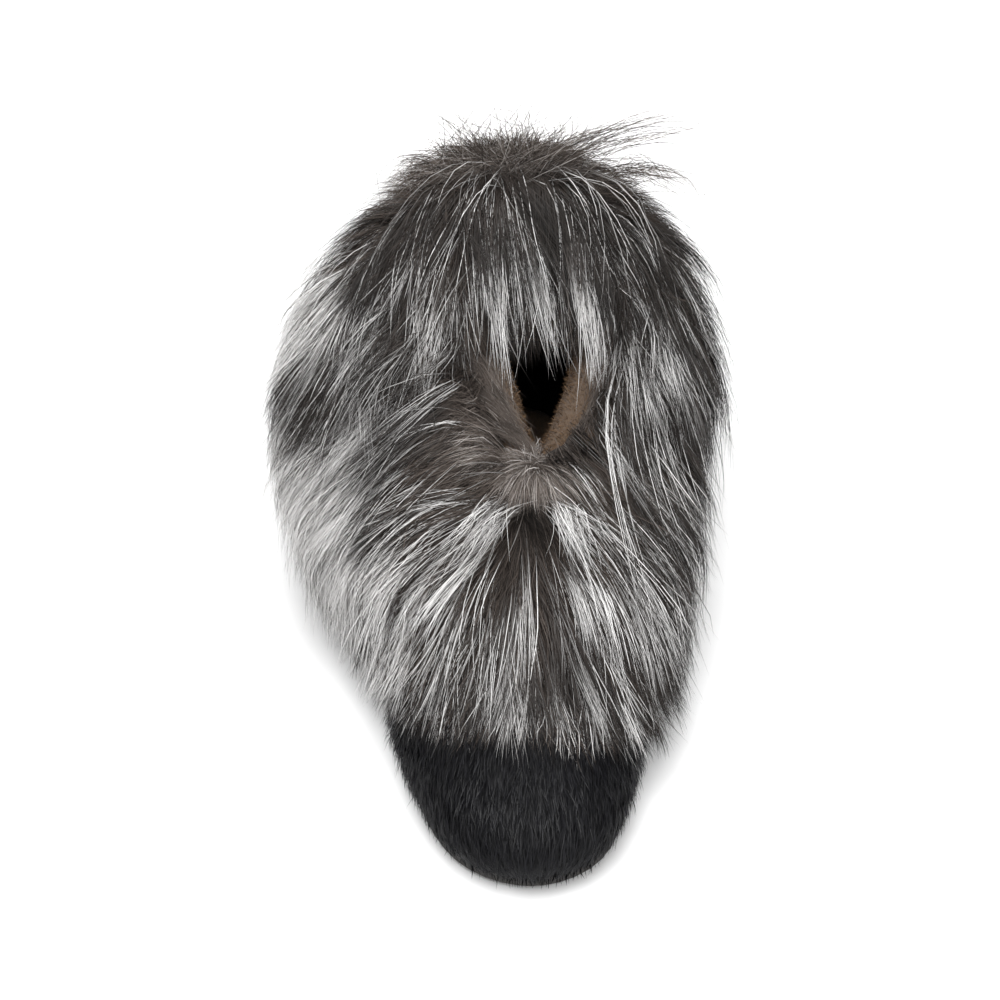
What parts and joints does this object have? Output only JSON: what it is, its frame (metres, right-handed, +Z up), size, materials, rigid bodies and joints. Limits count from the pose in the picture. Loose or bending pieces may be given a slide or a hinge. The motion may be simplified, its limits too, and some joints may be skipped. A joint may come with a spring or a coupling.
{
  "type": "fur slipper",
  "caption": "Low pull-on slipper with a rounded toe of short black hair hide and a deep cuff of long silver-grey fur around the vamp, ankle and heel, on a thin flat sole.",
  "frame": {"origin": "on the floor, under the middle of the slipper's box", "axes": "+Z up, the toe points to -Y, +X towards the inner side of the foot"},
  "size_m": [0.1802, 0.293, 0.1478],
  "materials": {
    "outsole": "matte",
    "insole": "soft plush",
    "hide": "short glossy hair",
    "fur": "long banded hair"
  },
  "bodies": {
    "root": {"outsole": "outsole", "insole": "insole", "upper": "hide", "fur_cuff": "fur"}
  },
  "joints": []
}
